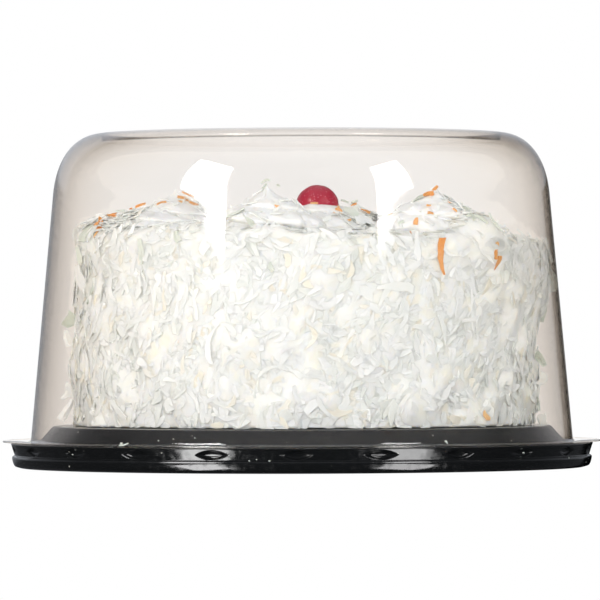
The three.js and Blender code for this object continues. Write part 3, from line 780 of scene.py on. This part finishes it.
def on_cake(x, y):
    """Place and normal, in millimetres, where the cake or a rosette shows at or just under a pixel."""
    for drop in range(10):
        hit = nearest(SOLID_TREES, CAMERA.location, sight(x, y + drop))
        if hit:
            break
    else:
        return None
    place, normal = hit[0], hit[1]
    laid = nearest(COCONUT_TREES, CAMERA.location, sight(x, y + drop))
    if laid and laid[3] < hit[3]:
        place = laid[0]
    rise = min(drop, 6) * PIXEL
    return place / MM + Vector((0, 0, rise)), normal


def on_pack(x, y):
    """Place and normal, in millimetres, where the lid or the tray's outside shows at a pixel."""
    hit = nearest(PACK_TREES, CAMERA.location, sight(x, y))
    return hit and (hit[0] / MM, hit[1])


def below(x, y):
    """Place and normal, in millimetres, of the highest icing under a point in plan, or None beside it."""
    hit = nearest(SOLID_TREES, Vector((x * MM, y * MM, 0.2)), Vector((0, 0, -1)))
    return hit and (hit[0] / MM, hit[1])


def on_axis_plane(x, y):
    """The place in millimetres where a photograph's pixel meets the upright plane through the axis."""
    way = sight(x, y)
    return (CAMERA.location - way * CAMERA.location.y / way.y) / MM


def side_strips(name, template, material, count, seed, length, width, thick, tips, tones):
    """Coconut all over the side and the edge."""
    draw = np.random.default_rng(seed)
    angle = draw.uniform(-math.pi, math.pi, count)
    run = draw.uniform(1, WALL_RUN + EDGE_RUN + 6, count)
    spots, normals = coat_spot(angle, run)
    settled = settle(spots)
    kept = np.ones(count, dtype=bool)
    for x, y, radius in BARE:
        hit = on_cake(x, y)
        if hit:
            kept &= np.linalg.norm(settled - np.array(hit[0]), axis=1) > radius
    spots, normals, count = spots[kept], normals[kept], int(kept.sum())
    turn = draw.normal(math.pi / 2, 0.95, count)
    tip = np.abs(draw.normal(0, tips, count)) * draw.choice((-1, 1), count)
    lift = draw.uniform(-0.45, 0.05, count)
    points, faces = lay_strips(template, spots, normals, draw, draw.uniform(*length, count),
                               draw.uniform(*width, count), draw.uniform(*thick, count), turn, tip, lift)
    return strips_piece(name, material, settle(points), faces, draw.uniform(*tones, count))


def rosette_spot(rosette):
    """Where a rosette stands on the cake's top."""
    if rosette[1] is None:
        return CENTRE_X, 0
    angle = math.radians(rosette[1])
    return RING_SHIFT + RING_R * math.sin(angle), -RING_R * math.cos(angle)


def top_strips(name, template, material, count, seed, length, width, thick, tips, tones):
    """Coconut all over the top, between the rosettes."""
    draw = np.random.default_rng(seed)
    angle = draw.uniform(-math.pi, math.pi, count)
    inward = TOP_RUN * (1 - np.sqrt(draw.uniform(0, 1, count)))
    spots, normals = coat_spot(angle, WALL_RUN + EDGE_RUN + inward)
    open_top = np.ones(count, dtype=bool)
    for rosette in (*ROSETTES, CENTRE_ROSETTE):
        x, y = rosette_spot(rosette)
        open_top &= np.hypot(spots[:, 0] + LEAN - x, spots[:, 1] - y) > 0.8 * rosette[2]
    spots, normals = spots[open_top], normals[open_top]
    count = len(spots)
    turn = draw.uniform(0, math.pi, count)
    tip = np.abs(draw.normal(0, tips, count))
    lift = draw.uniform(-0.5, 0, count)
    points, faces = lay_strips(template, spots, normals, draw, draw.uniform(*length, count),
                               draw.uniform(*width, count), draw.uniform(*thick, count), turn, tip, lift)
    return strips_piece(name, material, settle(points), faces, draw.uniform(*tones, count))


# Rosettes


def rosette_width(up):
    """Share of the foot radius at a share of the height: a full round foot, hollow flanks, a point."""
    return 0.5 + 0.5 * math.cos(math.pi * up ** 1.3)


def make_rosette(rosette, twist):
    """A dollop of whipped icing whose folds wind up to its tip, each fold bulging over the one below."""
    name, _, foot, height, lean = rosette
    spot_x, spot_y = rosette_spot(rosette)
    rows = 72
    outline = [Vector((0, 0))]
    outline += [Vector((max(foot * rosette_width(i / rows), 0.02), height * i / rows)) for i in range(rows)]
    outline += [Vector((0, height))]
    body = turned(outline, 128)
    for vert in body.verts:
        up = min(max(vert.co.z / height, 0), 1)
        around = math.atan2(vert.co.y, vert.co.x)
        wound = (2.6 * up + around / (2 * math.pi) + twist) % 1
        bulge = math.sin(math.pi * wound ** 0.7) ** 0.7
        petal = abs(math.sin(2.5 * around + 5.2 * up + twist))
        place = Vector((vert.co.x, vert.co.y, vert.co.z))
        ruffle = noise.fractal(place * 0.11 + Vector((9 * twist, 0, 0)), 1.0, 2.1, 4)
        fade = 1 - up ** 4
        grow = 1 + fade * (0.2 * (bulge - 0.62) + 0.08 * (petal - 0.6) * (1 - up) + 0.17 * ruffle)
        vert.co.x = vert.co.x * grow + lean[0] * up ** 3 + spot_x
        vert.co.y = vert.co.y * grow + lean[1] * up ** 3 + spot_y
        vert.co.z += CAKE_TOP - TOP_FALL * vert.co.x + GAP + 1.6 * (ruffle - 0.5 * bulge) * up * (1 - up)
    return piece(name + "_icing", body, ICING, "icing", name)


# Cherry


def make_cherry():
    """The cherry, a little lumpy under its sugar."""
    ball = bmesh.new()
    bmesh.ops.create_uvsphere(ball, u_segments=96, v_segments=64, radius=CHERRY_R)
    for vert in ball.verts:
        swell = 1 + 0.02 * noise.fractal(vert.co * 0.22, 1.0, 2.0, 3)
        vert.co *= swell
        vert.co.z *= CHERRY_SQUASH
    bmesh.ops.translate(ball, verts=ball.verts, vec=(CENTRE_X, 0, CHERRY_TOP - CHERRY_R * CHERRY_SQUASH))
    return piece("glace_cherry", ball, CHERRY_RED, "cherry", "cherry")


# Coconut on the rosettes, in heaps and one by one


def rosette_strips(name, template, material, count, seed):
    """Coconut that has stuck to the rosettes."""
    draw = np.random.default_rng(seed)
    hits = []
    for _ in range(count):
        rosette = (*ROSETTES, CENTRE_ROSETTE)[draw.integers(len(ROSETTES) + 1)]
        x, y = rosette_spot(rosette)
        reach, way = rosette[2] * math.sqrt(draw.uniform(0.02, 1.1)), draw.uniform(-math.pi, math.pi)
        hits.append(below(x + reach * math.cos(way), y + reach * math.sin(way)))
    spots, normals = (np.array(part) for part in zip(*hits))
    points, faces = lay_strips(template, spots, normals, draw, draw.uniform(3, 9, count),
                               draw.uniform(1.1, 3, count), draw.uniform(0.3, 0.5, count),
                               draw.uniform(0, math.pi, count), np.abs(draw.normal(0, 0.14, count)), lift=0)
    return strips_piece(name, material, points, faces, draw.uniform(0, 0.7, count))


def heap_strips(name, template, material, seed):
    """Coconut heaped up loosely, highest in the middle of each heap."""
    draw = np.random.default_rng(seed)
    hits, lifts = [], []
    for x, y, radius, height, count in HEAPS:
        for _ in range(count):
            share, way = math.sqrt(draw.uniform(0, 1)), draw.uniform(-math.pi, math.pi)
            spot_x, spot_y = x + share * radius * math.cos(way), y + share * radius * math.sin(way)
            hit = below(spot_x, spot_y)
            if not hit or math.hypot(spot_x - CENTRE_X, spot_y) < CHERRY_R + 5:
                continue
            hits.append(hit)
            lifts.append(draw.uniform(0, height) * (1 - share ** 2))
    spots, normals = (np.array(part) for part in zip(*hits))
    count = len(spots)
    points, faces = lay_strips(template, spots, normals, draw, draw.uniform(5, 13, count),
                               draw.uniform(2, 5, count), draw.uniform(0.2, 0.35, count),
                               draw.uniform(0, math.pi, count), draw.normal(0, 0.12, count), lift=lifts)
    return strips_piece(name, material, points, faces, draw.uniform(0.1, 0.9, count))


def marked_strips(name, template, material, marks, seed, find=on_cake, thick=0.5, tips=0.06, lift=0.3):
    """Strips that the photograph shows one by one: both ends in pixels, width in millimetres and tone."""
    draw = np.random.default_rng(seed)
    across, upward = sight(301, 300) - sight(300, 300), sight(300, 299) - sight(300, 300)
    spots, normals, turns, lengths, widths, tones = [], [], [], [], [], []
    for x1, y1, x2, y2, width, tone in marks:
        x, y = (x1 + x2) / 2, (y1 + y2) / 2
        place, normal = find(x, y) or (on_axis_plane(x, y), Vector((0, -1, 0)))
        way = ((x2 - x1) * across + (y1 - y2) * upward).normalized()
        flat = way - way.dot(normal) * normal
        guide = Vector((0, 1, 0)) if abs(normal.z) > 0.9 else Vector((0, 0, 1))
        side = guide.cross(normal).normalized()
        turns.append(math.atan2(flat.dot(normal.cross(side)), flat.dot(side)))
        lengths.append(math.hypot(x2 - x1, y2 - y1) * PIXEL / max(flat.length, 0.5))
        spots.append(place)
        normals.append(normal)
        widths.append(width)
        tones.append(tone)
    count = len(spots)
    points, faces = lay_strips(template, np.array(spots), np.array(normals), draw, lengths, widths,
                               np.full(count, thick), np.array(turns), np.abs(draw.normal(0, tips, count)),
                               lift=lift, curl=0.1, taper=(0, 0.35))
    return strips_piece(name, material, points, faces, np.array(tones))


# The object, from the pack inwards to the last shred

PACK = [make_lid(), make_tray()]
SOLIDS = [make_core()]
for i, rosette in enumerate(ROSETTES):
    SOLIDS.append(make_rosette(rosette, 1.3 * i))
SOLIDS.append(make_rosette(CENTRE_ROSETTE, 2))

SOLID_TREES = trees_of(SOLIDS)
PACK_TREES = trees_of(PACK)
COCONUT_TREES = []
side_strips("coconut_shreds", SHRED, COCONUT_WHITE, 1900, 11,
            length=(6, 18), width=(1.5, 3.6), thick=(0.15, 0.3), tips=0.03, tones=(0, 0.7))
side_strips("coconut_flakes", FLAKE, COCONUT_WHITE, 1900, 12,
            length=(5, 14), width=(3, 6.5), thick=(0.15, 0.3), tips=0.04, tones=(0.1, 0.9))
side_strips("coconut_cream", SHRED, COCONUT_CREAM, 500, 13,
            length=(5, 14), width=(1.8, 4), thick=(0.15, 0.3), tips=0.03, tones=(0, 0.8))
side_strips("coconut_tufts", SHRED, COCONUT_WHITE, 260, 15,
            length=(5, 13), width=(2.2, 4.6), thick=(0.2, 0.4), tips=0.16, tones=(0, 0.5))
top_strips("coconut_top", SHRED, COCONUT_WHITE, 2600, 14,
           length=(7, 16), width=(2, 5), thick=(0.15, 0.3), tips=0.08, tones=(0, 0.7))
rosette_strips("coconut_rosettes", SHRED, COCONUT_WHITE, 260, 16)
heap_strips("coconut_heaps", SHRED, COCONUT_WHITE, 17)
COCONUT_TREES = trees_of([made for made in bpy.data.objects if made.name.startswith("coconut_")])
marked_strips("coconut_crumbs", SHRED, COCONUT_GREY_AND_SHADE, CRUMBS, 24, find=on_pack, thick=0.3, tips=0, lift=0.1)
# Grey flakes whose grey is painted shade, where the coat's edges and the rosettes' flanks lie in shadow
marked_strips("coconut_damp", FLAKE, COCONUT_GREY_AND_SHADE, SHADE_GREY_FLAKES, 22)
marked_strips("coconut_hanging", FLAKE, COCONUT_WHITE, HANGING, 23)
marked_strips("coconut_toasted", SHRED, COCONUT_TOASTED, TOASTED, 21)
make_cherry()


# Floor and light


def make_floor():
    """A plain pale floor that shows white and casts no mirror image of itself in the tray."""
    disc = bmesh.new()
    bmesh.ops.create_circle(disc, cap_ends=True, segments=96, radius=6)
    mesh = bpy.data.meshes.new("floor")
    disc.to_mesh(mesh)
    disc.free()
    floor = bpy.data.objects.new("floor", mesh)
    bpy.context.collection.objects.link(floor)
    material, tree = new_material("pale floor paint")
    seen = add(tree, "ShaderNodeLightPath")["Is Camera Ray"]
    matt = add(tree, "ShaderNodeBsdfDiffuse", {"Color": linear("#D8D8D6")})[0]
    glow = add(tree, "ShaderNodeEmission", {"Color": linear("#FFFFFF"), "Strength": 1.0})[0]
    mixed = add(tree, "ShaderNodeMixShader", {0: seen, 1: matt, 2: glow})
    add(tree, "ShaderNodeOutputMaterial", {"Surface": mixed[0]})
    mesh.materials.append(material)
    floor.visible_glossy = False
    floor.visible_shadow = False


def softbox(name, centre, facing, size, watts):
    """A rectangular softbox that faces a direction, in metres."""
    light = bpy.data.lights.new(name, "AREA")
    light.shape = "RECTANGLE"
    light.size, light.size_y = size
    light.energy = watts
    made = bpy.data.objects.new(name, light)
    made.location = centre
    made.rotation_euler = Vector(facing).to_track_quat("-Z", "Y").to_euler()
    made.visible_camera = False
    bpy.context.collection.objects.link(made)
    return made


def make_lights():
    """Two upright softboxes that only shine in gloss, their images below the floor, and broad fills."""
    for name, side, x, y, z, wide, tall, watts in SOFTBOXES:
        power = watts * wide * tall / SOFTBOX_AREA
        box = softbox(name, (side * x, y, z), (-side, 0.1, 0), (wide, tall), power)
        box.visible_diffuse = False
    for name, x, y, z, watts, colour in FILLS:
        fill = softbox(name, (x, y, z), (-x, -y, 0.05 - z), FILL_SIZE, watts)
        fill.data.color = linear(colour)[:3]
        fill.visible_glossy = False
    make_room()


def make_room():
    """A dim, cool room with a white backdrop behind the object, which the camera sees all round."""
    world = bpy.data.worlds.new("studio")
    bpy.context.scene.world = world
    world.use_nodes = True
    tree = world.node_tree
    tree.nodes.clear()
    way = add(tree, "ShaderNodeTexCoord")["Generated"]
    parts = add(tree, "ShaderNodeSeparateXYZ", {0: way})
    across, behind, height = parts["X"], parts["Y"], parts["Z"]
    # A bright ceiling, and a far wall that is lit low down, both dim below the table's edge
    ceiling = add(tree, "ShaderNodeMapRange", {
        "Value": height, "From Min": 0.62, "From Max": 1.0, "To Min": ROOM_DIM, "To Max": 1.0})[0]
    far_wall = add(tree, "ShaderNodeMapRange", {
        "Value": behind, "From Min": 0.0, "From Max": 0.7, "To Min": ROOM_DIM, "To Max": FAR_WALL})[0]
    wall = add(tree, "ShaderNodeMapRange", {
        "Value": height, "From Min": 0.25, "From Max": 0.45, "To Min": far_wall, "To Max": ROOM_DIM})[0]
    lit = add(tree, "ShaderNodeMapRange", {
        "Value": height, "From Min": -0.12, "From Max": -0.02, "To Min": 0.2})[0]
    bright = add(tree, "ShaderNodeMath", {0: ceiling, 1: wall}, operation="MAXIMUM")[0]
    room_light = add(tree, "ShaderNodeMath", {0: bright, 1: lit}, operation="MULTIPLY")[0]
    # A pale sheet over the table behind, fading out to the right
    far = add(tree, "ShaderNodeMapRange", {"Value": behind, "From Min": 0.7, "From Max": 0.8})[0]
    raised = add(tree, "ShaderNodeMapRange", {"Value": height, "From Min": 0.04, "From Max": 0.1})[0]
    leftward = add(tree, "ShaderNodeMapRange", {"Value": across, "From Min": 0.5, "From Max": 0.0})[0]
    far_raised = add(tree, "ShaderNodeMath", {0: far, 1: raised}, operation="MULTIPLY")[0]
    reach = add(tree, "ShaderNodeMath", {0: far_raised, 1: leftward}, operation="MULTIPLY")[0]
    sheet = add(tree, "ShaderNodeMath", {0: reach, 1: PALE_SHEET}, operation="MULTIPLY")[0]
    lightest = add(tree, "ShaderNodeMath", {0: room_light, 1: sheet}, operation="MAXIMUM")[0]
    # A black flag, low behind on the right
    deep = add(tree, "ShaderNodeMath", {0: behind, 1: 0.866}, operation="GREATER_THAN")[0]
    near_table = add(tree, "ShaderNodeMath", {0: height, 1: 0.07}, operation="LESS_THAN")[0]
    right = add(tree, "ShaderNodeMath", {0: across, 1: 0.03}, operation="GREATER_THAN")[0]
    deep_low = add(tree, "ShaderNodeMath", {0: deep, 1: near_table}, operation="MULTIPLY")[0]
    flag = add(tree, "ShaderNodeMath", {0: deep_low, 1: right}, operation="MULTIPLY")[0]
    unflagged = add(tree, "ShaderNodeMath", {0: 1.0, 1: flag}, operation="SUBTRACT")[0]
    level = add(tree, "ShaderNodeMath", {0: lightest, 1: unflagged}, operation="MULTIPLY")[0]
    # A white backdrop straight behind, and white wherever the camera looks
    backdrop = add(tree, "ShaderNodeMath", {0: behind, 1: math.cos(BACKDROP_HALF_ANGLE)},
                   operation="GREATER_THAN")[0]
    seen = add(tree, "ShaderNodeLightPath")["Is Camera Ray"]
    white = add(tree, "ShaderNodeMath", {0: seen, 1: backdrop}, operation="MAXIMUM")[0]
    room = add(tree, "ShaderNodeBackground", {"Color": linear("#F0F5FF"), "Strength": level})[0]
    paper = add(tree, "ShaderNodeBackground", {"Color": linear("#FFFFFF"), "Strength": 1.0})[0]
    mixed = add(tree, "ShaderNodeMixShader", {0: white, 1: room, 2: paper})
    add(tree, "ShaderNodeOutputWorld", {"Surface": mixed[0]})


make_floor()
make_lights()
